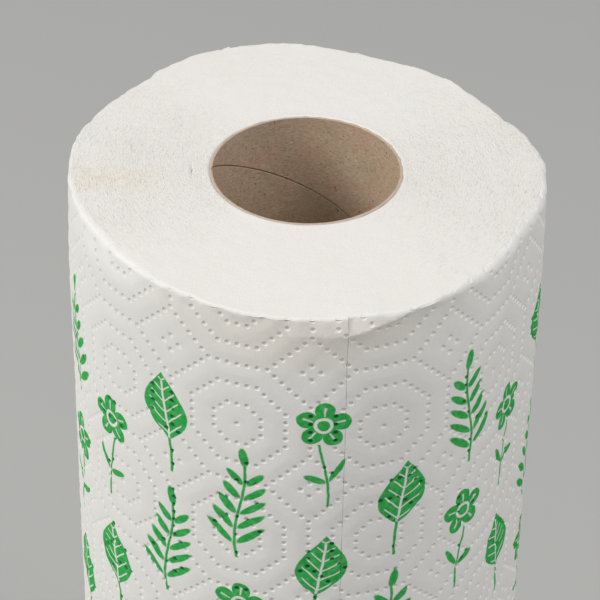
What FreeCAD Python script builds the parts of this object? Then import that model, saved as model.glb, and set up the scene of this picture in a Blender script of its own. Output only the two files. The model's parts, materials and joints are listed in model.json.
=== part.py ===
"""Paper towel roll: a wound, out-of-round roll of embossed sheet on a spiral-wound cardboard tube.

The roll stands on its end. Origin: the tube's axis at the bottom end of the roll, +Z up.
Angles are in degrees about +Z, from +X. The front of the roll, as it is usually looked at, is -Y.
Millimetres.
"""

import FreeCAD, Part

import math
import os

# Wound paper
roll_height = 279.4
nominal_radius = 51.2
sheet_thickness = 0.5
sheet_length = 152.4
tail_direction = 110.0
tail_run_in = 60.0
rim_bevel = 1.0

# Where the soft wall stands out of the round (+) or in (-): direction, depth and half width in degrees
wall_dents = (
    (-78.0, 2.4, 55.0),
    (-27.0, -1.3, 20.0),
    (0.0, 0.8, 60.0),
    (32.0, -3.3, 30.0),
    (94.0, -4.2, 72.0),
    (105.0, 5.3, 43.0),
    (148.0, -0.7, 22.0),
)

# Cardboard tube
tube_bore_radius = 20.1
tube_wall = 0.7
winding_clearance = 0.05

# Butt seam of the tube's strip, a helix on the inner wall
seam_pitch = 73.0
seam_top_direction = 181.0
seam_width = 0.35
seam_depth = 0.2

# Lines of the turns that show on both ends, as one shallow spiral groove
turn_lines = 8
turn_groove_width = 0.5
turn_groove_depth = 0.3
turn_margin_inside = 2.4
turn_margin_outside = 2.6

# Perforation lines between the sheets, as shallow slots along the wall
perforation_width = 0.5
perforation_depth = 0.25

# How finely the outlines are worked out
wall_station_deg = 15.0
turn_sides = 36

tube_outer_radius = tube_bore_radius + tube_wall
paper_bore_radius = tube_outer_radius + winding_clearance


def polar(radius, direction, height):
    """A point at a distance and direction from the tube's axis."""
    angle = math.radians(direction)
    return FreeCAD.Vector(radius * math.cos(angle), radius * math.sin(angle), height)


def wall_offset(direction):
    """How far the wall stands outside the nominal circle, from the dents that reach this direction."""
    total = 0.0
    for centre, depth, half_width in wall_dents:
        away = abs((direction - centre + 180.0) % 360.0 - 180.0)
        if away < half_width:
            total += depth * 0.5 * (1.0 + math.cos(math.pi * away / half_width))
    return total


def outer_radius(direction):
    """Outer radius of the wall where the tail's thickness isn't lost."""
    return nominal_radius + wall_offset(direction)


def running_in_radius(direction):
    """Outer radius of the turn that comes in by one sheet, to pass under the tail edge."""
    share = 1.0 - (tail_direction - direction) / tail_run_in
    return outer_radius(direction) - sheet_thickness * share


def wall_radius(past_tail):
    """Outer radius at an angle past the tail edge."""
    direction = tail_direction + past_tail
    if past_tail < 360.0 - tail_run_in:
        return outer_radius(direction)
    return running_in_radius(direction - 360.0)


def wall_angle_at(arc_length):
    """The angle past the tail edge at which the wall has run this length, or None past a full turn."""
    step = 0.25
    run = 0.0
    past_tail = 0.0
    while past_tail < 360.0:
        run += math.radians(step) * wall_radius(past_tail)
        past_tail += step
        if run >= arc_length:
            return past_tail
    return None


def arc_from(start, heading, end):
    """The arc that leaves the start along the heading and reaches the end."""
    chord = end - start
    left = FreeCAD.Vector(-chord.y, chord.x, 0)
    bend = math.atan2(heading.dot(left), heading.dot(chord))
    if abs(bend) < 1e-6:
        return Part.makeLine(start, end)
    crown = (start + end + left * math.tan(bend / 2)) * 0.5
    return Part.Arc(start, crown, end).toShape()


def arc_pair(start, heading, end, end_heading):
    """Two arcs that keep to both headings and run into each other without a corner."""
    chord = end - start
    turned = 2.0 * (1.0 - heading.dot(end_heading))
    along = chord.dot(heading + end_heading)
    reach = chord.dot(chord) / (along + math.sqrt(along ** 2 + turned * chord.dot(chord)))
    before = start + heading * reach
    after = end - end_heading * reach
    meeting = (before + after) * 0.5
    return [arc_from(start, heading, meeting), arc_from(meeting, after - before, end)]


def smooth_line(radius_at, first, last):
    """The line of this radius from one direction to another, as arcs that run into each other."""
    steps = math.ceil((last - first) / wall_station_deg)
    stations = []
    for k in range(steps + 1):
        direction = first + (last - first) * k / steps
        ahead = polar(radius_at(direction + 0.5), direction + 0.5, 0)
        behind = polar(radius_at(direction - 0.5), direction - 0.5, 0)
        stations.append((polar(radius_at(direction), direction, 0), (ahead - behind).normalize()))
    arcs = []
    for (start, heading), (end, end_heading) in zip(stations, stations[1:]):
        arcs.extend(arc_pair(start, heading, end, end_heading))
    return arcs


def paper_blank():
    """The wound paper as one block, out of round, with both rims bevelled and no tail yet."""
    outline = Part.Wire(smooth_line(outer_radius, 0.0, 360.0))
    block = Part.Face(outline).extrude(FreeCAD.Vector(0, 0, roll_height))
    rims = [edge for edge in block.Edges if edge.BoundBox.ZLength < rim_bevel]
    return block.makeChamfer(rim_bevel, rims)


def tail_step():
    """The cutter that leaves the tail edge standing: what is outside the turn that runs in under it."""
    first = tail_direction - 1.2 * tail_run_in
    under = smooth_line(running_in_radius, first, tail_direction)
    start = under[0].Vertexes[0].Point
    end = under[-1].Vertexes[-1].Point
    well_outside = 2 * nominal_radius
    corners = [end, polar(well_outside, tail_direction, 0), polar(well_outside, first, 0), start]
    face = Part.Face(Part.Wire(under + Part.makePolygon(corners).Edges))
    return face.extrude(FreeCAD.Vector(0, 0, roll_height))


def turn_radius(turns):
    """Distance of the spiral line from the axis: round at the tube, the wall's shape at the outside."""
    first = paper_bore_radius + turn_margin_inside
    last = outer_radius(tail_direction + 360.0 * turns) - sheet_thickness - turn_margin_outside
    return first + (last - first) * turns / turn_lines


def turn_groove(height):
    """The spiral groove's cutter on the end at this height, as deep above the end as below it."""
    inner = []
    outer = []
    for k in range(turn_lines * turn_sides + 1):
        turns = k / turn_sides
        direction = tail_direction + 360.0 * turns
        middle = turn_radius(turns)
        inner.append(polar(middle - turn_groove_width / 2, direction, height - turn_groove_depth))
        outer.append(polar(middle + turn_groove_width / 2, direction, height - turn_groove_depth))
    around = inner + outer[::-1] + inner[:1]
    return Part.Face(Part.makePolygon(around)).extrude(FreeCAD.Vector(0, 0, 2 * turn_groove_depth))


def perforation(past_tail):
    """The cutter of one perforation line, from end to end of the wall."""
    foot = FreeCAD.Vector(wall_radius(past_tail) - perforation_depth, -perforation_width / 2, 0)
    slot = Part.makeBox(2 * perforation_depth, perforation_width, roll_height, foot)
    slot.rotate(FreeCAD.Vector(0, 0, 0), FreeCAD.Vector(0, 0, 1), tail_direction + past_tail)
    return slot


def perforations():
    """A cutter for each perforation that the outermost turn shows."""
    cutters = []
    past_tail = wall_angle_at(sheet_length)
    while past_tail is not None:
        cutters.append(perforation(past_tail))
        past_tail = wall_angle_at((len(cutters) + 1) * sheet_length)
    return cutters


def paper_roll():
    """All the turns of paper as one solid, wound on the tube."""
    bore = Part.makeCylinder(paper_bore_radius, roll_height)
    cutters = [bore, tail_step(), turn_groove(0.0), turn_groove(roll_height)]
    return paper_blank().cut(cutters + perforations())


def seam_groove():
    """The cutter of the tube's butt seam: a shallow helix in the inner wall, past both ends."""
    run_out = 2 * seam_width
    helix = Part.makeHelix(seam_pitch, roll_height + 2 * run_out, tube_bore_radius)
    inside = tube_bore_radius - seam_depth
    outside = tube_bore_radius + seam_depth
    corners = [
        FreeCAD.Vector(inside, 0, -seam_width / 2),
        FreeCAD.Vector(outside, 0, -seam_width / 2),
        FreeCAD.Vector(outside, 0, seam_width / 2),
        FreeCAD.Vector(inside, 0, seam_width / 2),
    ]
    profile = Part.makePolygon(corners + corners[:1])
    groove = Part.Wire(helix.Edges).makePipeShell([profile], True, True)
    foot_direction = seam_top_direction - 360.0 * (roll_height + run_out) / seam_pitch
    groove.rotate(FreeCAD.Vector(0, 0, 0), FreeCAD.Vector(0, 0, 1), foot_direction)
    groove.translate(FreeCAD.Vector(0, 0, -run_out))
    return groove


def core_tube():
    """The cardboard tube, sawn off flush with the paper at both ends."""
    tube = Part.makeCylinder(tube_outer_radius, roll_height)
    return tube.cut([Part.makeCylinder(tube_bore_radius, roll_height), seam_groove()])


def main():
    os.makedirs("parts", exist_ok=True)
    for name, shape in (("core_tube", core_tube()), ("paper_roll", paper_roll())):
        solids = shape.Solids
        print(name, len(solids), "solid", round(shape.Volume), "mm3", shape.isValid())
        Part.makeCompound(solids).exportStep("parts/" + name + ".step")


main()
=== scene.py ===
# %% [markdown]
# # A roll of kitchen paper
# A kitchen roll is a cardboard tube with one long web of paper wound on it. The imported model
# gives the two solids, their size and their place. This lesson gives them their looks: paper
# pressed with rows of dots and printed in green, soft cut ends where every turn shows, and a
# tube wound from strips of grey-brown board. All lengths in Blender are metres.

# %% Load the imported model
import json
import math

import bmesh
import bpy
import numpy as np
from mathutils import Matrix, Vector, kdtree, noise


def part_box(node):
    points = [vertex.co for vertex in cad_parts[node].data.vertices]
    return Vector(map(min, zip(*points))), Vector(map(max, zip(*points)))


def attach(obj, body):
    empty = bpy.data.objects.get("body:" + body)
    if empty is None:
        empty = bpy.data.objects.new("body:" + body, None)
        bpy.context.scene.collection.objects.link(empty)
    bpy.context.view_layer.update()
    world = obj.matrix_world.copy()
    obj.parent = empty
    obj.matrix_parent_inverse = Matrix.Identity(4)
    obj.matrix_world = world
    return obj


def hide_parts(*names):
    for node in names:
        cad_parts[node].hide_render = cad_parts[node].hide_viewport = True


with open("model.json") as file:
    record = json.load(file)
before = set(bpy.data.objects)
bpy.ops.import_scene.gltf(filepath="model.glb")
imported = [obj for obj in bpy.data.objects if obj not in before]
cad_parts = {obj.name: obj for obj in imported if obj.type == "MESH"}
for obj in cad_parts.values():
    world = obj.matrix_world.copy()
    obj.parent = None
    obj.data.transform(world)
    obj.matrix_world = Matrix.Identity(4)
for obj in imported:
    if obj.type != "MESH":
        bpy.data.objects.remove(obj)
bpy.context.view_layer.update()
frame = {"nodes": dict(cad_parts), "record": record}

scene = bpy.context.scene
scene.view_settings.view_transform = "Standard"

# %% [markdown]
# ## Sizes
# Everything hangs on a few sizes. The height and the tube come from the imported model, so they
# can't drift from it. The wall is out of round, because the roll is soft and has been squeezed:
# it is a circle with a handful of dents, the same ones that the solid has.

# %% Sizes from the model
MM = 0.001
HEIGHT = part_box("paper_roll")[1][2]
TUBE_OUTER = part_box("core_tube")[1][0]
bore = next(mount for mount in frame["record"]["mounts"] if mount["name"] == "core_bore")
TUBE_INNER = bore["dims"]["r_mm"] * MM
print("height", HEIGHT, "tube", TUBE_INNER, TUBE_OUTER)

# %% Sizes of the wound paper
NOMINAL_RADIUS = 51.2 * MM
SHEET_THICKNESS = 0.5 * MM
SHEET_LENGTH = 152.4 * MM
TAIL_DIRECTION = 110.0
TAIL_RUN_IN = 60.0
RIM_RADIUS = 0.4 * MM
WALL_DENTS = (  # direction in degrees, depth in millimetres, half width in degrees
    (-78.0, 2.4, 55.0),
    (-27.0, -1.3, 20.0),
    (0.0, 0.8, 60.0),
    (32.0, -3.3, 30.0),
    (94.0, -4.2, 72.0),
    (105.0, 5.3, 43.0),
    (148.0, -0.7, 22.0),
)

# %% [markdown]
# ## The wall, unrolled
# The outermost turn is easiest to make flat and wrap on afterwards, as a machine does it. A point
# of the flat web has a distance along the web, counted from its loose end, and a height. To wrap
# it, we must know in which direction of the roll each distance ends up. We walk round the wall
# in half-degree steps, add up the length, and look it up from then on.

# %% Where a point of the web lies on the roll
def angle_between(directions, centre):
    return np.abs((directions - centre + 180.0) % 360.0 - 180.0)


def hump(away, half_width):
    """A smooth bump: 1 in its middle, 0 from the half width outwards."""
    return np.where(away < half_width, 0.5 + 0.5 * np.cos(math.pi * away / half_width), 0.0)


def outer_radius(directions):
    total = np.full(np.shape(directions), NOMINAL_RADIUS)
    for centre, depth, half_width in WALL_DENTS:
        total = total + depth * MM * hump(angle_between(directions, centre), half_width)
    return total


def web_radius(past_tail):
    """Radius of the outermost turn: before a full turn it comes in, to pass under the loose end."""
    run_in = np.clip((past_tail - 360.0) / TAIL_RUN_IN + 1.0, 0.0, 1.0)
    return outer_radius(TAIL_DIRECTION + past_tail) - SHEET_THICKNESS * run_in


STEPS_PAST_TAIL = np.arange(0.0, 400.0, 0.5)
STEP_LENGTHS = web_radius(STEPS_PAST_TAIL) * math.radians(0.5)
WEB_LENGTHS = np.concatenate(([0.0], np.cumsum(STEP_LENGTHS[:-1])))
FULL_TURN = float(np.interp(360.0, STEPS_PAST_TAIL, WEB_LENGTHS))


def past_tail_at(along):
    return np.interp(along, WEB_LENGTHS, STEPS_PAST_TAIL)


def along_at(direction):
    return float(np.interp((direction - TAIL_DIRECTION) % 360.0, STEPS_PAST_TAIL, WEB_LENGTHS))


first_perforation = TAIL_DIRECTION + float(past_tail_at(SHEET_LENGTH)) - 360.0
print("one turn is", round(FULL_TURN / MM, 1), "mm")
print("first perforation at", round(first_perforation, 1), "degrees")

# %% [markdown]
# ## Softness
# Paper is never a perfect surface. The wall sags a little between the places where it is held,
# and the cut rim is ragged, because every turn ends at its own height. Both are slow noise. The
# rim's noise is read round a circle, so that it meets itself, and it is kept as a table, because
# the wall and the end face must agree about the rim. The table has a value for every point that
# the end face will have along the rim. In one place, at the back left, the rim has a small notch.

# %% Noise round the roll
def ring_noise(directions, waves, seed):
    """Noise along a circle, with roughly this many waves in a turn."""
    reach = waves / (2 * math.pi)
    values = []
    for angle in np.radians(directions):
        values.append(noise.noise(Vector((reach * math.cos(angle), reach * math.sin(angle), seed))))
    return np.array(values)


STEPS_PER_TURN = 240
NOTCH_DIRECTION = 160.0
TABLE_DIRECTIONS = TAIL_DIRECTION + 360.0 * np.arange(STEPS_PER_TURN) / STEPS_PER_TURN
RIM_LIFT_TABLE = MM * (
    0.30 * ring_noise(TABLE_DIRECTIONS, 9, 3.1)
    + 0.26 * ring_noise(TABLE_DIRECTIONS, 60, 7.7)
    + 0.26 * ring_noise(TABLE_DIRECTIONS, 170, 1.4)
)
RIM_OUT_TABLE = MM * (
    0.35 * ring_noise(TABLE_DIRECTIONS, 24, 5.2)
    + 0.45 * ring_noise(TABLE_DIRECTIONS, 75, 9.6)
    + 0.30 * ring_noise(TABLE_DIRECTIONS, 190, 2.8)
    - 0.60 * hump(angle_between(TABLE_DIRECTIONS, NOTCH_DIRECTION), 2.5)
)


def from_table(table, directions):
    return np.interp(directions, TABLE_DIRECTIONS, table, period=360.0)


print("rim lift in mm", round(RIM_LIFT_TABLE.min() / MM, 2), "to", round(RIM_LIFT_TABLE.max() / MM, 2))

# %% [markdown]
# The rim is rounder at the right, and a little at the left, than elsewhere. At the left of the
# front it has been pushed in to a soft shoulder, and to the right of the middle it flares out
# over a slight hollow. From the perforation to the right the top of the sheet has a crease, which
# starts a little below the rim and runs up to it. Above the crease a narrow strip leans in. To
# the left of the perforation the strip goes on and straightens up. At both sides the whole rim is
# squeezed in a little, and at the back it bulges out.

# %% Shapes of the upper rim
ROUND_RIGHT = (-28.0, 1.6, 50.0)
ROUND_LEFT = (-150.0, 0.8, 46.0)
RIM_SQUEEZES = (
    (-6.0, 0.60, 27.0),
    (-171.0, 0.50, 24.0),
    (100.0, -0.45, 55.0),
    (153.0, -0.50, 22.0),
)
SQUEEZE_REACH = 13.0 * MM
SHOULDER = (-146.0, 1.5, 28.0)
SHOULDER_HEIGHT = 7.0 * MM
FLARE = (-66.0, 1.9, 34.0)
FLARE_REACH = 3.5 * MM
HOLLOW_REACH = 14.0 * MM
CREASE_START = along_at(-80.25)
CREASE_LENGTH = 15.5 * MM
CREASE_DROP = 4.3 * MM
CREASE_LEAN = 0.27
STRIP_LEAN = 0.15
STRIP_END = -104.0


def hump_at(directions, shape):
    """A shape that is given by its direction, its size in millimetres and its half width in degrees."""
    centre, size, half_width = shape
    return size * MM * hump(angle_between(directions, centre), half_width)


def upper_rounding(directions):
    return RIM_RADIUS + hump_at(directions, ROUND_RIGHT) + hump_at(directions, ROUND_LEFT)


def crease_drop(along):
    return CREASE_DROP * np.clip(1.0 - (along - CREASE_START) / CREASE_LENGTH, 0.0, 1.0)


def strip_lean(along):
    """How much the strip above the crease leans in, as a slope."""
    before = np.clip((along - along_at(STRIP_END)) / (CREASE_START - along_at(STRIP_END)), 0.0, 1.0)
    return np.where(along < CREASE_START, STRIP_LEAN * before, CREASE_LEAN)


def rim_shift(directions, along, below_top):
    """How far the upper rim's shapes move the sheet out, at a depth below its edge."""
    below = np.clip(below_top - crease_drop(along), 0.0, None)
    above = np.clip(crease_drop(along) - below_top, 0.0, None)
    flare = np.exp(-below / FLARE_REACH) - 0.6 * np.exp(-(below / HOLLOW_REACH) ** 2)
    shoulder = hump_at(directions, SHOULDER) * hump(below_top, SHOULDER_HEIGHT)
    squeeze = sum(hump_at(directions, shape) for shape in RIM_SQUEEZES)
    squeeze = squeeze * np.exp(-(below_top / SQUEEZE_REACH) ** 2)
    return hump_at(directions, FLARE) * flare - strip_lean(along) * above - shoulder - squeeze


# %% [markdown]
# Now the wrapping. A flat point keeps its distance along the web and its height, and its relief
# is measured off the surface. Near the two rims the paper turns over by a quarter turn, so that
# it meets the cut ends, and its relief is weaker there.

# %% Wrap flat points on the roll
QUARTER = math.pi / 2
TOP_EDGE = HEIGHT + (QUARTER - 1.0) * RIM_RADIUS
BOTTOM_EDGE = (1.0 - QUARTER) * RIM_RADIUS
RIM_SETTLES = 8.0 * MM
RIM_THINNING = 0.75


def turned_over(below_edge, rounding):
    """How far the paper has turned over the rim, as an angle: a quarter turn at its edge."""
    return QUARTER * np.clip(1.0 - below_edge / (QUARTER * rounding), 0.0, 1.0)


def wrap(along, up, relief):
    """Places flat web points (along, up, relief) on the roll. The relief is measured off the surface."""
    past_tail = past_tail_at(along)
    directions = TAIL_DIRECTION + past_tail
    below_top = np.clip(TOP_EDGE - up, 0.0, None)
    above_bottom = np.clip(up - BOTTOM_EDGE, 0.0, None)
    rounding = upper_rounding(directions)
    over_top = turned_over(below_top, rounding)
    over_bottom = turned_over(above_bottom, RIM_RADIUS)
    near_top = np.exp(-below_top / (2.5 * MM))
    near_bottom = np.exp(-above_bottom / (2.5 * MM))
    radius = web_radius(past_tail) - rounding * (1.0 - np.cos(over_top))
    radius = radius - RIM_RADIUS * (1.0 - np.cos(over_bottom))
    radius = radius + from_table(RIM_OUT_TABLE, directions) * (near_top + near_bottom)
    radius = radius + rim_shift(directions, along, below_top)
    settling = np.exp(-np.clip(below_top - QUARTER * rounding, 0.0, None) / RIM_SETTLES)
    height = up + (QUARTER - 1.0) * (rounding - RIM_RADIUS) * settling
    height = np.where(over_top > 0.0, HEIGHT - rounding * (1.0 - np.sin(over_top)), height)
    height = np.where(over_bottom > 0.0, RIM_RADIUS * (1.0 - np.sin(over_bottom)), height)
    height = height + from_table(RIM_LIFT_TABLE, directions) * near_top
    relief = relief * (1.0 - RIM_THINNING * np.maximum(np.sin(over_top), np.sin(over_bottom)))
    radius = radius + relief * np.cos(over_top) * np.cos(over_bottom)
    height = height + relief * (np.sin(over_top) - np.sin(over_bottom))
    angles = np.radians(directions)
    return np.stack((radius * np.cos(angles), radius * np.sin(angles), height), axis=1)


# %% [markdown]
# ## The pressed pattern
# The two plies are held together by small dots pressed into them. They form eight-sided rings,
# one inside the other, that share their outer sides with their neighbours. A dot marks their
# middle, and four more stand as a diamond where four outer rings leave room. One square of the
# pattern repeats over the whole web, so we list the dots of one square. Every ring has its sides
# at a multiple of the same step, and its dots a fixed distance apart along the side.

# %% The dots of one square of the pattern
PATTERN_PITCH = 30.7 * MM
RING_STEP = PATTERN_PITCH / 6
DOT_SPACING = RING_STEP * math.tan(math.radians(22.5))
DIAMOND_DOT = RING_STEP * 0.36
SQUARE_LOW = -0.5 * PATTERN_PITCH - 0.75 * MM


def inside_square(value):
    return (value - SQUARE_LOW) % PATTERN_PITCH + SQUARE_LOW


def square_dots():
    """Centres of the dots, each moved by whole squares into the one that we make."""
    places = [(0.0, 0.0)]
    for ring in (1, 2, 3):
        for side in range(8):
            turn = Matrix.Rotation(math.radians(45 * side), 2)
            for step in range(-ring, ring):
                places.append(tuple(turn @ Vector((ring * RING_STEP, step * DOT_SPACING))))
    corner = PATTERN_PITCH / 2
    for x, y in ((1, 0), (-1, 0), (0, 1), (0, -1)):
        places.append((corner + x * DIAMOND_DOT, corner + y * DIAMOND_DOT))
    unique = {}
    for x, y in places:
        x, y = inside_square(x + 1e-7), inside_square(y + 1e-7)
        unique[(round(x / MM, 2), round(y / MM, 2))] = (x, y)
    return list(unique.values())


DOTS = square_dots()
print("dots in a square:", len(DOTS))

# %% [markdown]
# Each dot is a small dimple. A flat grid would need a very fine mesh to hold it, so the square is
# made the other way round: circles for the dots, a border, and one fill between them. The fill
# operator treats a closed loop inside another as a hole, which leaves the dots open. Its fixed
# tolerance is coarse next to a dot that is given in metres, so this step works a thousand times
# enlarged. Large triangles get a point in their middle, so that the paper can swell between the
# dots. Then each dot's face is inset and pushed down, which gives the dimple a steep wall, and a
# poke makes its bottom a shallow bowl. Edges are shaded sharp where the faces turn by more than
# DOT_SHARPNESS. The wall turns down by more than that, and everything inside the dimple by less,
# so a dot has a crisp rim and a smooth inside.

# %% One square of pressed paper
DOT_RADIUS = 0.70 * MM
DOT_FLATTENING = 0.95
DOT_DEPTH = 0.44 * MM
DOT_WALL_WIDTH = 0.44 * DOT_RADIUS
DOT_WALL_SHARE = 0.75
DOT_SIDES = 8
DOT_SHARPNESS = 34.0
PILLOW = 0.20 * MM
PILLOW_REACH = 1.0 * MM
BORDER_CUTS = 14
ENLARGED = Matrix.Scale(1.0 / MM, 4)


def nearest_dot_tree():
    """Finds the distance to the nearest dot, those of the neighbouring squares included."""
    tree = kdtree.KDTree(9 * len(DOTS))
    index = 0
    for x, y in DOTS:
        for across in (-1, 0, 1):
            for up in (-1, 0, 1):
                tree.insert((x + across * PATTERN_PITCH, y + up * PATTERN_PITCH, 0.0), index)
                index += 1
    tree.balance()
    return tree


def pressed_square():
    bm = bmesh.new()
    middle = SQUARE_LOW + PATTERN_PITCH / 2
    centre = ENLARGED @ Matrix.Translation((middle, middle, 0.0))
    bmesh.ops.create_grid(bm, x_segments=1, y_segments=1, size=PATTERN_PITCH / 2, matrix=centre)
    bmesh.ops.delete(bm, geom=bm.faces[:], context="FACES_ONLY")
    bmesh.ops.subdivide_edges(bm, edges=bm.edges[:], cuts=BORDER_CUTS)
    oval = Matrix.Scale(DOT_FLATTENING, 4, (0, 1, 0)) @ Matrix.Rotation(math.pi / DOT_SIDES, 4, "Z")
    for x, y in DOTS:
        place = ENLARGED @ Matrix.Translation((x, y, 0.0)) @ oval
        bmesh.ops.create_circle(bm, segments=DOT_SIDES, radius=DOT_RADIUS, matrix=place)
    bmesh.ops.triangle_fill(bm, edges=bm.edges[:], use_beauty=True, normal=(0, 0, 1))
    bmesh.ops.poke(bm, faces=[face for face in bm.faces if face.calc_area() > 1.2])
    inner_edges = [edge for edge in bm.edges if not edge.is_boundary]
    bmesh.ops.beautify_fill(bm, faces=bm.faces[:], edges=inner_edges)
    bmesh.ops.scale(bm, verts=bm.verts[:], vec=(MM, MM, MM))
    tree = nearest_dot_tree()
    for vert in bm.verts:
        away = max(0.0, tree.find(vert.co)[2] - DOT_RADIUS)
        vert.co.z = PILLOW * (1.0 - math.exp(-away / PILLOW_REACH))
    loops = [edge for edge in bm.edges if edge.is_boundary and not on_border(edge)]
    dots = bmesh.ops.holes_fill(bm, edges=loops, sides=DOT_SIDES)["faces"]
    bmesh.ops.recalc_face_normals(bm, faces=bm.faces[:])
    flip_if_down(bm)
    wall_depth = DOT_WALL_SHARE * DOT_DEPTH
    bmesh.ops.inset_individual(bm, faces=dots, thickness=DOT_WALL_WIDTH, depth=-wall_depth)
    bmesh.ops.poke(bm, faces=dots, offset=wall_depth - DOT_DEPTH)
    mesh = bpy.data.meshes.new("pressed_square")
    bm.to_mesh(mesh)
    bm.free()
    return mesh


def on_border(edge):
    high = SQUARE_LOW + PATTERN_PITCH
    for axis in (0, 1):
        for limit in (SQUARE_LOW, high):
            if all(abs(vert.co[axis] - limit) < 1e-6 for vert in edge.verts):
                return True
    return False


def flip_if_down(bm):
    if sum(face.normal.z for face in bm.faces) < 0:
        bmesh.ops.reverse_faces(bm, faces=bm.faces[:])


square = pressed_square()
print("one square has", len(square.polygons), "faces and", len(square.vertices), "points")

# %% [markdown]
# ## The sheets
# The perforations part the outermost turn into sheets, and each is a piece of its own. A sheet is
# laid out flat as a grid of squares, trimmed to its edges with bisecting planes, and given a plain
# inner side, so that it is a thin closed body. The planes near the rim put points where the
# paper will bend over. Only then is it wrapped.

# %% Lay out, close and wrap a sheet
PATTERN_ALONG = along_at(-104.6)
PATTERN_UP = HEIGHT - 28.9 * MM
RIM_CUTS = 8
RIM_CUT_REACH = 3.1 * MM
INNER_CELL = 6.0 * MM
INNER_CUTS = (1.2, 2.6, 4.3, 7.0, 12.0, 30.0, 60.0, 95.0)  # millimetres from the rims


def cut(bm, place, normal, keep_all=False):
    bmesh.ops.bisect_plane(
        bm, geom=bm.verts[:] + bm.edges[:] + bm.faces[:], dist=1e-7,
        plane_co=place, plane_no=normal, clear_outer=not keep_all,
    )


def flat_sheet(start, end):
    """The sheet's outer side, flat, from one distance along the web to another."""
    bm = bmesh.new()
    first = math.floor((start - PATTERN_ALONG - SQUARE_LOW) / PATTERN_PITCH)
    last = math.floor((end - PATTERN_ALONG - SQUARE_LOW) / PATTERN_PITCH)
    lowest = math.floor((BOTTOM_EDGE - PATTERN_UP - SQUARE_LOW) / PATTERN_PITCH)
    highest = math.floor((TOP_EDGE - PATTERN_UP - SQUARE_LOW) / PATTERN_PITCH)
    for column in range(first, last + 1):
        for row in range(lowest, highest + 1):
            before = len(bm.verts)
            bm.from_mesh(square)
            shift = Vector((PATTERN_ALONG + column * PATTERN_PITCH, PATTERN_UP + row * PATTERN_PITCH, 0))
            bmesh.ops.translate(bm, verts=bm.verts[:][before:], vec=shift)
    bmesh.ops.remove_doubles(bm, verts=bm.verts[:], dist=0.01 * MM)
    cut(bm, (start, 0, 0), (-1, 0, 0))
    cut(bm, (end, 0, 0), (1, 0, 0))
    cut(bm, (0, BOTTOM_EDGE, 0), (0, -1, 0))
    cut(bm, (0, TOP_EDGE, 0), (0, 1, 0))
    for step in range(1, RIM_CUTS + 1):
        inward = RIM_CUT_REACH * (step / RIM_CUTS) ** 1.5
        cut(bm, (0, TOP_EDGE - inward, 0), (0, 1, 0), keep_all=True)
        cut(bm, (0, BOTTOM_EDGE + inward, 0), (0, 1, 0), keep_all=True)
    cut(bm, (0, TOP_EDGE - CREASE_DROP, 0), (0, 1, 0), keep_all=True)
    return bm


def cut_crease(bm):
    """Puts points along the crease, so that the sheet can fold there."""
    corner = Vector((CREASE_START, TOP_EDGE - CREASE_DROP, 0.0))
    line = Vector((CREASE_LENGTH, CREASE_DROP, 0.0))
    cut(bm, corner, (-line.y, line.x, 0.0), keep_all=True)


def close_sheet(bm, start, end):
    """Extrudes the sheet's cut edges, closes them with one face, and cuts that face into cells."""
    made = bmesh.ops.extrude_edge_only(bm, edges=[edge for edge in bm.edges if edge.is_boundary])["geom"]
    for vert in (item for item in made if isinstance(item, bmesh.types.BMVert)):
        vert.co.z = -SHEET_THICKNESS
    rim = [edge for edge in bm.edges if edge.is_boundary]
    inner = bmesh.ops.holes_fill(bm, edges=rim, sides=0)["faces"]
    planes = []
    for along in np.arange(start, end, INNER_CELL)[1:]:
        planes.append(((along, 0, 0), (1, 0, 0)))
    for inward in INNER_CUTS:
        planes.append(((0, TOP_EDGE - inward * MM, 0), (0, 1, 0)))
        planes.append(((0, BOTTOM_EDGE + inward * MM, 0), (0, 1, 0)))
    for place, normal in planes:
        parts = {item for face in inner for item in (face, *face.edges, *face.verts)}
        done = bmesh.ops.bisect_plane(bm, geom=list(parts), dist=1e-7, plane_co=place, plane_no=normal)
        inner = [item for item in done["geom"] if isinstance(item, bmesh.types.BMFace)]
    bmesh.ops.triangulate(bm, faces=[face for face in bm.faces if len(face.verts) > 4])
    bmesh.ops.recalc_face_normals(bm, faces=bm.faces[:])


def finish_mesh(bm, name, sharp=60.0):
    """Makes a smooth-shaded object of the bmesh, with edges sharp where the faces turn further."""
    mesh = bpy.data.meshes.new(name)
    bm.to_mesh(mesh)
    bm.free()
    mesh.shade_smooth()
    mesh.set_sharp_from_angle(angle=math.radians(sharp))
    piece = bpy.data.objects.new(name, mesh)
    scene.collection.objects.link(piece)
    return piece


def points_of(mesh):
    flat = np.empty(3 * len(mesh.vertices), dtype=np.float32)
    mesh.vertices.foreach_get("co", flat)
    return flat.reshape(-1, 3).astype(np.float64)


def triangle_count(mesh):
    return sum(len(face.vertices) - 2 for face in mesh.polygons)


def set_points(mesh, points):
    mesh.vertices.foreach_set("co", points.astype(np.float32).ravel())
    mesh.update()


def keep_flat_places(mesh, points):
    """Keeps the flat places as a UV map in metres, and how deep each point is pressed."""
    over = turned_over(TOP_EDGE - points[:, 1], RIM_RADIUS)
    corner_vertices = np.empty(len(mesh.loops), dtype=np.int32)
    mesh.loops.foreach_get("vertex_index", corner_vertices)
    uv_map = mesh.uv_layers.new(name="web")
    uv_map.data.foreach_set("uv", points[corner_vertices, :2].astype(np.float32).ravel())
    pressed = np.clip(-points[:, 2] / DOT_DEPTH, 0.0, 1.0) * np.cos(over)
    pressed[points[:, 2] < -0.9 * SHEET_THICKNESS] = 0.0
    layer = mesh.attributes.new("pressed", "FLOAT", "POINT")
    layer.data.foreach_set("value", pressed.astype(np.float32))


SAG = 0.30 * MM


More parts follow.
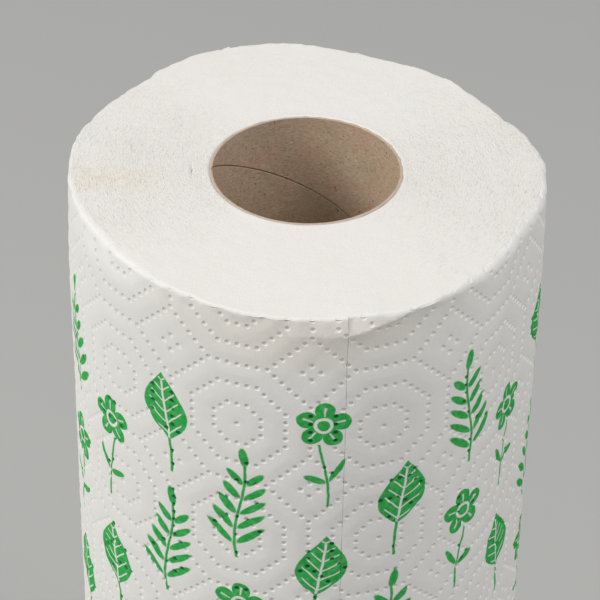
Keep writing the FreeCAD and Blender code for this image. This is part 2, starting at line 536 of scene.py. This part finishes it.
def sag(points):
    """Slow unevenness of the wall, from how it lies on the turns below. It fades out at the rims."""
    values = []
    for x, y, _ in points:
        slow = noise.noise(Vector((x / (38 * MM), y / (46 * MM), 4.0)))
        quick = noise.noise(Vector((x / (11 * MM), y / (15 * MM), 8.0)))
        values.append(slow + 0.3 * quick)
    from_rim = np.minimum(TOP_EDGE - points[:, 1], points[:, 1] - BOTTOM_EDGE)
    return SAG * np.array(values) * (1.0 - np.exp(-np.clip(from_rim, 0.0, None) / (5 * MM)))


# %% [markdown]
# A perforation is a row of short cuts with a bond between each pair. The sheets' edges sink a
# little there, most of all between the bonds, where the slit opens by about a tenth of a
# millimetre. The loose end of the web isn't bonded: it stands off the turn below and is a little
# wavy.

# %% Edges of the sheets
BOND_SPACING = 6.0 * MM
SLIT = 0.09 * MM
GROOVE = 0.14 * MM
GROOVE_REACH = 0.5 * MM
TAIL_LIFT = 0.45 * MM
TAIL_LIFT_REACH = 4.0 * MM


def openness(up):
    """How open a perforation is at this height: 0 at a bond and about 1 between two bonds."""
    between = np.sin(math.pi * (up / BOND_SPACING % 1.0))
    ragged = np.array([0.75 + 0.9 * noise.noise(Vector((0.0, value / (1.7 * MM), 3.0))) for value in up])
    return np.clip(between * ragged, 0.0, 1.0)


def waviness(up):
    """How far the loose end stands off at each height, as a share of its usual lift."""
    return np.array([1.0 + 0.8 * noise.noise(Vector((value / (26 * MM), 0.0, 5.0))) for value in up])


def edge_shapes(points, start, end, loose_start):
    """Moves points near the sheet's edges: along the web, and off the surface."""
    to_start = points[:, 0] - start
    to_end = end - points[:, 0]
    opened = openness(points[:, 1])
    near_end = np.exp(-(to_end / GROOVE_REACH) ** 2)
    near_start = np.exp(-(to_start / GROOVE_REACH) ** 2)
    along = points[:, 0] - 0.5 * SLIT * opened * near_end
    relief = points[:, 2] - GROOVE * (0.35 + 0.65 * opened) * near_end
    if loose_start:
        relief = relief + TAIL_LIFT * waviness(points[:, 1]) * np.exp(-to_start / TAIL_LIFT_REACH)
    else:
        along = along + 0.5 * SLIT * opened * near_start
        relief = relief - GROOVE * (0.35 + 0.65 * opened) * near_start
    return along, relief


def make_sheet(name, start, end, loose_start=False):
    bm = flat_sheet(start, end)
    if start < CREASE_START + 1 * MM < end:
        cut_crease(bm)
    close_sheet(bm, start, end)
    piece = finish_mesh(bm, name, DOT_SHARPNESS)
    mesh = piece.data
    points = points_of(mesh)
    keep_flat_places(mesh, points)
    along, relief = edge_shapes(points, start, end, loose_start)
    set_points(mesh, wrap(along, points[:, 1], relief + sag(points)))
    print(name, triangle_count(mesh), "triangles")
    return piece


GAP = 0.01 * MM
tail_sheet = make_sheet("tail_sheet", 0.0, SHEET_LENGTH - GAP, loose_start=True)
front_sheet = make_sheet("front_sheet", SHEET_LENGTH + GAP, 2 * SHEET_LENGTH - GAP)
under_sheet = make_sheet("under_sheet", 2 * SHEET_LENGTH + GAP, FULL_TURN + 6 * MM)
sheets = (tail_sheet, front_sheet, under_sheet)

# %% [markdown]
# ## The cut ends
# On the ends every turn shows as a fine line, and the lines are one spiral. So an end is made as
# a ribbon, as wide as one turn and sixty turns long, and wound up. Each turn's ribbon meets the
# next one, and merging the doubles makes one surface of it. Where the ribbon would leave the
# paper it is held at the rim or at the tube. The saw leaves the turns ragged, a little higher or
# lower every millimetre or so, so the ribbon's inner points get random heights with a fixed
# seed. Those at its two sides stay level, because the neighbouring turn has the same points. At
# the wall and at the tube the end dips under its neighbour's edge, so no gap can open there. Near
# the tube, at the left, two turns have parted and leave a short slot.

# %% Wind the ends
TURNS = 60
ROWS_ACROSS = 3
RIDGE = 0.014 * MM
RAGGED = 0.016 * MM
TUCK = 0.5 * MM
TUCK_DEPTH = 0.42 * MM
TUBE_LAP = 0.15 * MM
PARTING_DIRECTION = 182.0
PARTING_RADIUS = 24.5 * MM
PARTING_DEPTH = 0.7 * MM
PARTING_WIDTH = 0.22 * MM
PARTING_REACH = 3.0
END_INNER = TUBE_OUTER - TUBE_LAP


def ribbon(turns, steps_per_turn, across):
    """A flat ribbon: x counts turns, y runs from 0 to 1 across it."""
    bm = bmesh.new()
    place = Matrix.Translation((turns / 2, 0.5, 0.0)) @ Matrix.Diagonal((turns, 1.0, 1.0, 1.0))
    bmesh.ops.create_grid(bm, x_segments=turns * steps_per_turn, y_segments=across, size=0.5, matrix=place)
    return bm


def slow_roughness(x, y):
    values = []
    for px, py in zip(x, y):
        slow = noise.noise(Vector((px / (24 * MM), py / (24 * MM), 2.0)))
        quick = noise.noise(Vector((px / (3.1 * MM), py / (3.1 * MM), 6.0)))
        values.append(0.22 * MM * slow + 0.07 * MM * quick)
    return np.array(values)


def parted(directions, radius):
    """How deep the slot between the two parted turns is at each place."""
    across = np.exp(-((radius - PARTING_RADIUS) / PARTING_WIDTH) ** 2)
    lengthwise = np.exp(-(angle_between(directions, PARTING_DIRECTION) / PARTING_REACH) ** 2)
    return PARTING_DEPTH * across * lengthwise


def make_end(name, top):
    bm = ribbon(TURNS + 1, STEPS_PER_TURN, ROWS_ACROSS)
    flat = np.array([vert.co[:2] for vert in bm.verts])
    past_tail = flat[:, 0] * 360.0
    depth = np.clip(flat[:, 0] + flat[:, 1] - 1.0, 0.0, TURNS)
    directions = TAIL_DIRECTION + past_tail
    rim = web_radius(past_tail % 360.0)
    if top:
        along = np.interp(past_tail % 360.0, STEPS_PAST_TAIL, WEB_LENGTHS)
        rim = rim - upper_rounding(directions) + rim_shift(directions, along, 0.0)
    else:
        rim = rim - RIM_RADIUS
    rim = rim + TUCK + from_table(RIM_OUT_TABLE, directions)
    radius = END_INNER + (rim - END_INNER) * (1.0 - depth / TURNS)
    angles = np.radians(directions)
    x = radius * np.cos(angles)
    y = radius * np.sin(angles)
    inside = np.sin(math.pi * flat[:, 1])
    ragged = np.random.default_rng(5).normal(0.0, RAGGED, len(flat))
    lift = slow_roughness(x, y) + (RIDGE + ragged) * inside
    lift = lift - parted(directions, radius)
    to_rim = rim - radius
    lift = lift * (1.0 - np.exp(-to_rim / (1.5 * MM))) + 0.05 * MM
    lift = lift - TUCK_DEPTH * np.exp(-(to_rim / (0.6 * TUCK)) ** 2)
    to_tube = radius - END_INNER
    lift = lift + 0.10 * MM * np.exp(-(to_tube / (1.2 * MM)) ** 2)
    lift = lift - TUCK_DEPTH * np.exp(-(to_tube / (0.25 * MM)) ** 2)
    if top:
        height = HEIGHT + lift + from_table(RIM_LIFT_TABLE, directions) * np.exp(-to_rim / (2.5 * MM))
    else:
        height = -np.minimum(lift, 0.0)
    for vert, px, py, pz in zip(bm.verts, x, y, height):
        vert.co = (px, py, pz)
    bmesh.ops.remove_doubles(bm, verts=bm.verts[:], dist=0.01 * MM)
    bmesh.ops.dissolve_degenerate(bm, edges=bm.edges[:], dist=0.002 * MM)
    wanted = 1.0 if top else -1.0
    bmesh.ops.recalc_face_normals(bm, faces=bm.faces[:])
    if sum(face.normal.z * face.calc_area() for face in bm.faces) * wanted < 0:
        bmesh.ops.reverse_faces(bm, faces=bm.faces[:])
    open_edges = sum(edge.is_boundary for edge in bm.edges)
    piece = finish_mesh(bm, name)
    print(name, triangle_count(piece.data), "triangles;", open_edges, "open edges")
    return piece


upper_end = make_end("upper_end", True)
lower_end = make_end("lower_end", False)

# %% [markdown]
# ## The tube
# The tube is wound from a strip of board, and the strip's edges meet in a seam that runs down the
# inner wall as a helix. The same ribbon makes it: wound up with a rise of one strip width a turn,
# its edges are the seam. The ends are cut level, so the ribbon is held at the top and the bottom.
# The rims and the outer wall are extruded from its two open edges.

# %% Wind the tube
SEAM_PITCH = 73.0 * MM
SEAM_TOP_DIRECTION = 181.0
SEAM_WIDTH = 0.28 * MM
SEAM_DEPTH = 0.22 * MM
TUBE_STEPS = 120
TUBE_ROWS = 24


def make_tube():
    strips = math.ceil(HEIGHT / SEAM_PITCH) + 1
    bm = ribbon(strips, TUBE_STEPS, TUBE_ROWS)
    edge_rows = SEAM_WIDTH / SEAM_PITCH
    for at in (edge_rows, 2 * edge_rows, 1 - 2 * edge_rows, 1 - edge_rows):
        cut(bm, (0, at, 0), (0, 1, 0), keep_all=True)
    for vert in bm.verts:
        drop = (vert.co.x - 1.0 + vert.co.y) * SEAM_PITCH
        height = min(max(HEIGHT - drop, 0.0), HEIGHT)
        angle = math.radians(SEAM_TOP_DIRECTION) - 2 * math.pi * vert.co.x
        to_seam = min(vert.co.y, 1.0 - vert.co.y) * SEAM_PITCH
        radius = TUBE_INNER
        if to_seam < 0.5 * SEAM_WIDTH:
            radius += SEAM_DEPTH
        vert.co = (radius * math.cos(angle), radius * math.sin(angle), height)
    bmesh.ops.remove_doubles(bm, verts=bm.verts[:], dist=0.02 * MM)
    bmesh.ops.dissolve_degenerate(bm, edges=bm.edges[:], dist=0.01 * MM)
    return bm


# %% Close the tube with its rims and its outer wall
TUBE_RIM = (  # share of the wall's thickness outwards, height off the cut
    (0.42, 0.04 * MM),
    (0.80, 0.0),
    (1.00, -0.15 * MM),
)


def open_loop(bm, height):
    return [edge for edge in bm.edges if edge.is_boundary and abs(edge.verts[0].co.z - height) < 5 * MM]


def extrude_ring(bm, edges, radius, height, rough):
    made = bmesh.ops.extrude_edge_only(bm, edges=edges)["geom"]
    for vert in (item for item in made if isinstance(item, bmesh.types.BMVert)):
        outward = Vector((vert.co.x, vert.co.y, 0.0)).normalized()
        fray = rough * noise.noise(outward * 11.0) + 0.6 * rough * noise.noise(outward * 37.0)
        vert.co = outward * (radius + 0.3 * fray) + Vector((0.0, 0.0, height + fray))
    return [item for item in made if isinstance(item, bmesh.types.BMEdge) and item.is_boundary]


def close_tube(bm):
    wall = TUBE_OUTER - TUBE_INNER
    for height, upward in ((HEIGHT, 1.0), (0.0, -1.0)):
        loop = open_loop(bm, height)
        for share, above in TUBE_RIM:
            rough = 0.22 * MM if upward > 0 and share < 1.0 else 0.0
            loop = extrude_ring(bm, loop, TUBE_INNER + share * wall, height + upward * above, rough)
    bmesh.ops.bridge_loops(bm, edges=[edge for edge in bm.edges if edge.is_boundary])
    bmesh.ops.recalc_face_normals(bm, faces=bm.faces[:])


def keep_seam(mesh):
    """Keeps how near each point is to the seam of the strip, for the board's finish."""
    points = points_of(mesh)
    angles = np.degrees(np.arctan2(points[:, 1], points[:, 0]))
    turns = (SEAM_TOP_DIRECTION - angles) / 360.0
    to_seam = ((HEIGHT - points[:, 2]) / SEAM_PITCH - turns) % 1.0
    to_seam = np.minimum(to_seam, 1.0 - to_seam) * SEAM_PITCH
    layer = mesh.attributes.new("seam", "FLOAT", "POINT")
    layer.data.foreach_set("value", np.exp(-to_seam / (0.5 * MM)).astype(np.float32))


tube_bm = make_tube()
close_tube(tube_bm)
tube = finish_mesh(tube_bm, "wound_tube", 40.0)
keep_seam(tube.data)
print("wound_tube", len(tube.data.polygons), "faces")

# %% [markdown]
# ## Materials by arithmetic
# The finishes are worked out from places on the paper, so they need many small sums. A little
# class keeps that readable: its objects stand for numbers in the material's graph, and adding or
# multiplying them makes the Math nodes.

# %% A class for sums in a material
class Amount:
    def __init__(self, tree, socket):
        self.tree = tree
        self.socket = socket

    def math(self, operation, *others, clamp=False):
        node = self.tree.nodes.new("ShaderNodeMath")
        node.operation = operation
        node.use_clamp = clamp
        for place, value in enumerate((self, *others)):
            if isinstance(value, Amount):
                self.tree.links.new(value.socket, node.inputs[place])
            else:
                node.inputs[place].default_value = value
        return Amount(self.tree, node.outputs[0])

    def __add__(self, other):
        return self.math("ADD", other)

    def __sub__(self, other):
        return self.math("SUBTRACT", other)

    def __mul__(self, other):
        return self.math("MULTIPLY", other)

    def __truediv__(self, other):
        return self.math("DIVIDE", other)

    def __neg__(self):
        return self.math("MULTIPLY", -1.0)

    def abs(self):
        return self.math("ABSOLUTE")

    def floor(self):
        return self.math("FLOOR")

    def sin(self):
        return self.math("SINE")

    def sqrt(self):
        return self.math("SQRT")

    def least(self, other):
        return self.math("MINIMUM", other)

    def most(self, other):
        return self.math("MAXIMUM", other)

    def modulo(self, other):
        return self.math("FLOORED_MODULO", other)

    def clamp(self):
        return self.math("ADD", 0.0, clamp=True)


class Material:
    """A material's graph with a Principled shader, and short ways to add what the finishes share."""

    def __init__(self, name):
        self.data = bpy.data.materials.new(name)
        self.data.use_nodes = True
        self.tree = self.data.node_tree
        self.shader = self.tree.nodes["Principled BSDF"]
        self.bump_normal = None

    def node(self, kind, **settings):
        made = self.tree.nodes.new(kind)
        for key, value in settings.items():
            setattr(made, key, value)
        return made

    def link(self, source, target):
        self.tree.links.new(source.socket if isinstance(source, Amount) else source, target)

    def object_place(self):
        split = self.node("ShaderNodeSeparateXYZ")
        self.link(self.node("ShaderNodeTexCoord").outputs["Object"], split.inputs[0])
        return [Amount(self.tree, output) for output in split.outputs]

    def uv_place(self, name):
        split = self.node("ShaderNodeSeparateXYZ")
        self.link(self.node("ShaderNodeUVMap", uv_map=name).outputs[0], split.inputs[0])
        return [Amount(self.tree, split.outputs[0]), Amount(self.tree, split.outputs[1])]

    def attribute(self, name):
        return Amount(self.tree, self.node("ShaderNodeAttribute", attribute_name=name).outputs["Fac"])

    def noise(self, place, detail=2.0, roughness=0.5):
        """Noise from -1 to 1 at a place that is given as three amounts, in units of one wave."""
        joined = self.node("ShaderNodeCombineXYZ")
        for socket, value in zip(joined.inputs, place):
            if isinstance(value, Amount):
                self.link(value, socket)
            else:
                socket.default_value = value
        made = self.node("ShaderNodeTexNoise")
        made.inputs["Scale"].default_value = 1.0
        made.inputs["Detail"].default_value = detail
        made.inputs["Roughness"].default_value = roughness
        self.link(joined.outputs[0], made.inputs["Vector"])
        return Amount(self.tree, made.outputs["Fac"]) * 2.0 - 1.0

    def cover(self, under, over, amount):
        """Lays a colour over another. Each is three numbers, or what an earlier cover made."""
        mix = self.node("ShaderNodeMix", data_type="RGBA")
        self.link(amount, mix.inputs["Factor"])
        for socket, colour in zip(mix.inputs[6:8], (under, over)):
            if isinstance(colour, tuple):
                socket.default_value = (*colour, 1.0)
            else:
                self.link(colour, socket)
        return mix.outputs[2]

    def bump(self, height, distance):
        made = self.node("ShaderNodeBump")
        made.inputs["Strength"].default_value = 1.0
        made.inputs["Distance"].default_value = distance
        self.link(height, made.inputs["Height"])
        if self.bump_normal:
            self.link(self.bump_normal, made.inputs["Normal"])
        self.bump_normal = made.outputs[0]
        self.link(self.bump_normal, self.shader.inputs["Normal"])


# %% [markdown]
# ## The print
# The paper is printed with green plants, one motif in each cell of a grid whose columns are
# shifted by half a cell. Each motif is a distance in millimetres that is negative inside the ink:
# a leaf with veins, a sprig with leaflets in pairs, and a flower. The least of two
# distances joins two shapes, and the most of them keeps what both have.

# %% Motifs as distances
CELL_WIDTH = 17.4
CELL_HEIGHT = 34.8


def near_line(away, half_width):
    return away.abs() - half_width


def leaf(x, y):
    """A broad leaf on a bent stem, with its midrib and veins left white."""
    bent = x - (y * 0.13).sin() * 1.2
    share = ((y + 5.5) / 17.0).clamp()
    half = (share * math.pi).sin() * (share * -3.4 + 7.2)
    blade = bent.abs() - half
    midrib = near_line(bent, 0.26).most(y - 9.2)
    veins = near_line((y - bent.abs() * 0.75 + bent * 0.18).modulo(2.7) - 1.35, 0.19)
    veins = veins.most(bent.abs() - half * 0.76)
    blade = blade.most(-midrib).most(-veins).most((y - 3.0).abs() - 8.4)
    stem = near_line(bent, 0.36).most((y + 9.6).abs() - 4.6)
    return blade.least(stem)


def sprig(x, y):
    """A thin stem with leaflets in pairs that get shorter upwards, and one at its tip."""
    bent = x - (y * 0.17).sin() * 1.2
    slant = y - bent.abs() * 0.8
    middle = (slant / 4.2).floor() * 4.2 + 2.1
    size = middle * -0.024 + 0.86
    out = bent.abs() / size - 3.1
    step = slant - middle
    leaflet = (out * out / 7.4 + step * step * 0.66).sqrt() - 1.0
    leaflet = leaflet.most(((middle + 0.4).abs() - 10.6) * 4.0)
    tip = (bent * bent / 1.1 + (y - 13.6) * (y - 13.6) / 6.2).sqrt() - 1.0
    stem = near_line(bent, 0.34).most((y + 1.2).abs() - 13.4)
    return leaflet.least(tip).least(stem)


def flower(x, y):
    """A flower of five petals round a white ring, on a stem with two small leaves."""
    up = y - 7.0
    reach = (x * x + up * up).sqrt()
    direction = up.math("ARCTAN2", x) * 2.5 + 0.6
    petals = reach - (direction.sin().abs().math("POWER", 0.6) * 3.0 + 2.9)
    ring = near_line(reach - 1.7, 0.35)
    rays = near_line((direction + QUARTER).sin(), 0.12).most((reach - 3.5).abs() - 1.1)
    petals = petals.most(-ring).most(-rays)
    stem_x = x - (y * 0.16 + 0.4).sin() * 1.3
    stem = near_line(stem_x, 0.3).most((y + 6.6).abs() - 8.6)
    side = stem_x.abs() - 2.5
    side_y = y + 8.2 - stem_x.abs() * 0.75 + stem_x * 0.45
    leaves = (side * side / 5.0 + side_y * side_y / 1.0).sqrt() - 1.0
    return petals.least(stem).least(leaves)


# %% [markdown]
# The cells near the rims stay empty, so a bare band lies below each rim.

# %% Fill the web with motifs
PRINT_FOOT = 19.3
PRINT_MIDDLE = 140.0
PRINT_REACH = 110.0


def print_distance(material, along, up):
    """Distance to the ink, in millimetres, at a place on the web in millimetres."""
    wobble = material.noise((along / 2.2, up / 2.2, 0.0), detail=1.0)
    column = (along / CELL_WIDTH).floor()
    x = along - (column + 0.5) * CELL_WIDTH
    foot = column.modulo(2.0) * (-0.5 * CELL_HEIGHT) + PRINT_FOOT
    row = ((up - foot) / CELL_HEIGHT).floor()
    middle = (row + 0.5) * CELL_HEIGHT + foot
    mirrored = (column + row).modulo(2.0) * 2.0 - 1.0
    x = x * mirrored + wobble * 0.18
    y = up - middle + wobble * 0.12
    which = (column + row * 2.0).modulo(3.0)
    empty_cell = (middle - PRINT_MIDDLE).abs() - PRINT_REACH
    motifs = []
    for index, motif in enumerate((leaf, sprig, flower)):
        elsewhere = (which - float(index)).abs() * 50.0
        motifs.append(motif(x, y) + elsewhere)
    return motifs[0].least(motifs[1]).least(motifs[2]).most(empty_cell)


# %% [markdown]
# ## The paper
# Creped tissue is white with a touch of warmth and has no gloss. Its surface is fine vertical
# crepe with loose fibres, far too fine for mesh, so it is bump. The ink soaks in unevenly. Inside
# the dots the paper gets painted shade, and the ink is darker there, partly because the dots
# press the two plies together and partly as painted shade. Below the rim at the front the paper
# is painted a little warmer, as painted warm shade. The ends are a shade darker than the sheet,
# and at the left some yellowish dust lies on the upper one. Dark streaks on the ends are painted
# shade in the gaps between the turns.

# %% Paper
PAPER_WHITE = (0.845, 0.838, 0.81)
PAPER_CREAM = (0.80, 0.788, 0.755)
PAPER_DIMPLE_SHADE = (0.42, 0.40, 0.37)
PAPER_WARM_SHADE = (0.845, 0.815, 0.755)
PAPER_END = (0.805, 0.79, 0.757)
END_CREAM = (0.80, 0.773, 0.728)
END_GAP_SHADE = (0.62, 0.56, 0.45)
END_DUST = (0.74, 0.66, 0.46)
INK = (0.013, 0.38, 0.058)
INK_LIGHT = (0.085, 0.51, 0.145)
INK_PRESSED_AND_SHADED = (0.008, 0.15, 0.035)
WARM_SHADE_MIDDLE = 4.0 * MM
WARM_SHADE_WIDTH = 42.0 * MM
WARM_SHADE_HEIGHT = 13.0 * MM
DUST_PLACE = (-41.0 * MM, -5.0 * MM)
DUST_REACH = (12.0 * MM, 5.5 * MM)


def torn_fibres(paper, x, y):
    """Short streaks along the turns, -1 to 1, and how strongly they show in this direction."""
    radius = (x * x + y * y).sqrt()
    cosine = x / radius
    sine = y / radius
    streak = paper.noise((radius * 3400.0, cosine * 24.0, sine * 24.0), detail=3.0, roughness=0.65)
    patch = paper.noise((x * 80.0, y * 80.0, 4.0))
    streak_strength = (cosine.abs() * 2.0 - 1.1 + patch * 0.5).clamp() * 0.8 + 0.2
    return streak, streak_strength


def near_place(value, place, reach):
    """1 at a place along one axis, and 0 from the reach outwards."""
    return ((value - place).abs() / -reach + 1.0).clamp()


def printed_paper():
    paper = Material("printed_paper")
    along, up = (value * 1000.0 for value in paper.uv_place("web"))
    pressed = paper.attribute("pressed")
    distance = print_distance(paper, along, up)
    mottle = paper.noise((along / 1.3, up / 1.3, 5.0), detail=3.0)
    fibre = paper.noise((along / 0.28, up / 0.34, 9.0), detail=2.0)
    ink = (distance * -4.5 + 0.5 + fibre * 0.4).clamp() * 0.985
    cloud = paper.noise((along / 14.0, up / 14.0, 2.0)) * 0.3 + 0.3
    base = paper.cover(PAPER_WHITE, PAPER_CREAM, cloud.clamp())
    # Painted shade: the paper is darkened inside the dimples, most at their bottoms.
    base = paper.cover(base, PAPER_DIMPLE_SHADE, (pressed * pressed * 0.24).clamp())
    x, y, z = paper.object_place()
    # Painted warm shade: the paper just below the rim at the front is tinted warmer.
    warm_shade = near_place(x, WARM_SHADE_MIDDLE, WARM_SHADE_WIDTH)
    warm_shade = warm_shade * near_place(z, HEIGHT - 5.0 * MM, WARM_SHADE_HEIGHT)
    base = paper.cover(base, PAPER_WARM_SHADE, (warm_shade * (y * -100.0).clamp() * 1.5).clamp())
    rim = ((z - (HEIGHT - 0.4 * MM)) * 3000.0).clamp()
    base = paper.cover(base, PAPER_END, rim)
    inked = paper.cover(INK, INK_LIGHT, (mottle * 1.5 + 0.24).clamp())
    # The ink is darker inside the dots, partly because the plies are pressed together there and partly as
    # painted shade.
    inked = paper.cover(inked, INK_PRESSED_AND_SHADED, (pressed * 1.6 - 0.1).clamp())
    paper.link(paper.cover(base, inked, ink), paper.shader.inputs["Base Color"])
    paper.shader.inputs["Roughness"].default_value = 0.95
    paper.shader.inputs["Specular IOR Level"].default_value = 0.15
    crepe = paper.noise((along / 0.5, up / 1.5, 0.0), detail=3.0, roughness=0.6)
    paper.bump(crepe, 0.03 * MM)
    paper.bump(fibre, 0.02 * MM)
    streak, streak_strength = torn_fibres(paper, x, y)
    paper.bump(streak * streak_strength * rim, 0.14 * MM)
    return paper.data


def cut_paper():
    """The ends: short ragged streaks along the turns, strongest at the left and right, with painted shade
    in them.
    """
    paper = Material("cut_paper")
    x, y, z = paper.object_place()
    streak, streak_strength = torn_fibres(paper, x, y)
    grain = paper.noise((x * 2400.0, y * 2400.0, z * 2400.0), detail=3.0)
    cloud = paper.noise((x * 60.0, y * 60.0, 0.0)) * 0.3 + 0.3
    base = paper.cover(PAPER_END, END_CREAM, cloud.clamp())
    dust = near_place(x, DUST_PLACE[0], DUST_REACH[0]).least(near_place(y, DUST_PLACE[1], DUST_REACH[1]))
    # Painted shade: the dark streaks stand for the shade in the gaps between the turns, strongest at the
    # left and right and in the dusty patch.
    shade = ((streak * -2.6 - 0.25) * (streak_strength + dust * 1.2)).clamp()
    base = paper.cover(base, END_GAP_SHADE, shade)
    base = paper.cover(base, END_DUST, (dust * (grain * 2.0 + 0.4)).clamp() * 0.8)
    paper.link(base, paper.shader.inputs["Base Color"])
    paper.shader.inputs["Roughness"].default_value = 0.95
    paper.shader.inputs["Specular IOR Level"].default_value = 0.1
    paper.bump(streak * streak_strength, 0.15 * MM)
    paper.bump(grain, 0.06 * MM)
    return paper.data


# %% [markdown]
# ## The board
# Tube board is made of waste paper. It is grey-brown, cloudy, and has light and dark specks. Its
# cut rim is paler, because the fibres stand open there, and the seam is a thin dark line.

# %% Tube board
BOARD = (0.52, 0.39, 0.27)
BOARD_PALE = (0.54, 0.44, 0.33)
BOARD_REDDISH = (0.56, 0.37, 0.29)
BOARD_OLIVE = (0.44, 0.36, 0.24)
FIBRE_LIGHT = (0.70, 0.58, 0.46)
FIBRE_DARK = (0.28, 0.19, 0.13)
SPECK_LIGHT = (0.70, 0.64, 0.52)
SPECK_DARK = (0.13, 0.10, 0.07)
SEAM_DARK = (0.12, 0.08, 0.05)
BOARD_EDGE = (0.53, 0.45, 0.385)


def tube_board():
    board = Material("tube_board")
    x, y, z = board.object_place()
    cloud = board.noise((x * 90.0, y * 90.0, z * 60.0), detail=3.0)
    blotch = board.noise((x * 130.0, y * 130.0, z * 160.0 + 7.0), detail=3.0)
    speck = board.noise((x * 1300.0, y * 1300.0, z * 1300.0), detail=1.0)
    fibre = board.noise((x * 1100.0, y * 1100.0, z * 2300.0), detail=4.0, roughness=0.7)
    base = board.cover(BOARD, BOARD_PALE, (cloud * 1.2 + 0.3).clamp())
    base = board.cover(base, BOARD_REDDISH, (blotch * 2.2 - 0.1).clamp())
    base = board.cover(base, BOARD_OLIVE, (blotch * -2.0 - 0.1).clamp())
    base = board.cover(base, FIBRE_LIGHT, (fibre * 2.4 - 0.1).clamp() * 0.7)
    base = board.cover(base, FIBRE_DARK, (fibre * -2.4 - 0.1).clamp() * 0.7)
    base = board.cover(base, SPECK_LIGHT, (speck * 4.0 - 1.4).clamp() * 0.7)
    base = board.cover(base, SPECK_DARK, (speck * -4.0 - 1.4).clamp() * 0.9)
    base = board.cover(base, SEAM_DARK, (board.attribute("seam") * 2.2 - 1.2).clamp() * 0.8)
    rim = (((x * x + y * y).sqrt() - (TUBE_INNER + 0.1 * MM)) * 8000.0).clamp()
    rim = rim * ((z - (HEIGHT - 0.6 * MM)) * 3000.0).clamp()
    base = board.cover(base, BOARD_EDGE, (rim * 0.85).clamp())
    board.link(base, board.shader.inputs["Base Color"])
    board.shader.inputs["Roughness"].default_value = 0.8
    board.shader.inputs["Specular IOR Level"].default_value = 0.25
    board.bump(fibre, 0.05 * MM)
    board.bump(cloud, 0.25 * MM)
    return board.data


# %% [markdown]
# Every piece gets its finish and is hung on the body that it moves with. The imported solids get
# the same finishes and are hidden.

# %% Give the finishes to the pieces
printed = printed_paper()
cut_end = cut_paper()
board = tube_board()
for piece in sheets:
    piece.data.materials.append(printed)
for piece in (upper_end, lower_end, frame["nodes"]["paper_roll"]):
    piece.data.materials.clear()
    piece.data.materials.append(cut_end)
for piece in (tube, frame["nodes"]["core_tube"]):
    piece.data.materials.clear()
    piece.data.materials.append(board)
for piece in (*sheets, upper_end, lower_end):
    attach(piece, "root")
    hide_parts("paper_roll")
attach(tube, "root")
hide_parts("core_tube")
print("finishes", [material.name for material in bpy.data.materials])

# %% [markdown]
# ## The studio
# The roll stands on a plain grey floor that fills the picture. A large soft light from the upper
# left shades the dots, a weaker one from above the right side gives them bright lower lips there,
# and an even white world does the rest.

# %% Floor
FLOOR_SIZE = 12.0
FLOOR_GREY = (0.465, 0.465, 0.455)
floor_bm = bmesh.new()
bmesh.ops.create_grid(floor_bm, x_segments=1, y_segments=1, size=FLOOR_SIZE / 2)
floor = finish_mesh(floor_bm, "floor")
floor_finish = Material("floor")
floor_finish.shader.inputs["Base Color"].default_value = (*FLOOR_GREY, 1.0)
floor_finish.shader.inputs["Roughness"].default_value = 0.9
floor_finish.shader.inputs["Specular IOR Level"].default_value = 0.1
floor.data.materials.append(floor_finish.data)

# %% Lights
TARGET = Vector((0.0, 0.0, HEIGHT))
WORLD_STRENGTH = 0.38


def area_light(name, place, size, power, colour):
    data = bpy.data.lights.new(name, "AREA")
    data.shape = "DISK"
    data.size = size
    data.energy = power
    data.color = colour
    light = bpy.data.objects.new(name, data)
    light.location = place
    light.rotation_euler = (TARGET - Vector(place)).to_track_quat("-Z", "Y").to_euler()
    scene.collection.objects.link(light)
    return light


area_light("key", (-1.62, -0.50, 1.46), 1.0, 25.8, (1.0, 0.985, 0.96))
area_light("fill", (0.95, -0.55, 1.95), 1.0, 17.0, (0.99, 0.99, 1.0))

world = bpy.data.worlds.new("studio")
world.use_nodes = True
world.node_tree.nodes["Background"].inputs["Color"].default_value = (1.0, 1.0, 1.0, 1.0)
world.node_tree.nodes["Background"].inputs["Strength"].default_value = WORLD_STRENGTH
scene.world = world
print("lights", [light.name for light in bpy.data.lights])

# %% [markdown]
# ## The camera
# The camera stands where the photographer stood: above the roll and in front of it, looking down
# at it by 37 degrees, with a long lens, turned by one degree.

# %% Camera
CAMERA_PLACE = (-0.0008, -0.4709, 0.5972)
CAMERA_DOWN = 0.6430
CAMERA_ROLL = 0.0188
CAMERA_LENS = 159.1
camera_data = bpy.data.cameras.new("camera")
camera_data.lens = CAMERA_LENS
camera_data.sensor_width = 36.0
camera = bpy.data.objects.new("camera", camera_data)
camera.location = CAMERA_PLACE
look_down = Matrix.Rotation(math.pi / 2 - CAMERA_DOWN, 3, "X")
camera.rotation_euler = (look_down @ Matrix.Rotation(CAMERA_ROLL, 3, "Z")).to_euler()
scene.collection.objects.link(camera)
scene.camera = camera
print("the camera looks down by", round(math.degrees(CAMERA_DOWN), 1), "degrees")

# %% [markdown]
# ## Up to date
# The finished roll may stand only a little proud of the imported model. The last line brings
# the scene up to date.


bpy.context.view_layer.update()
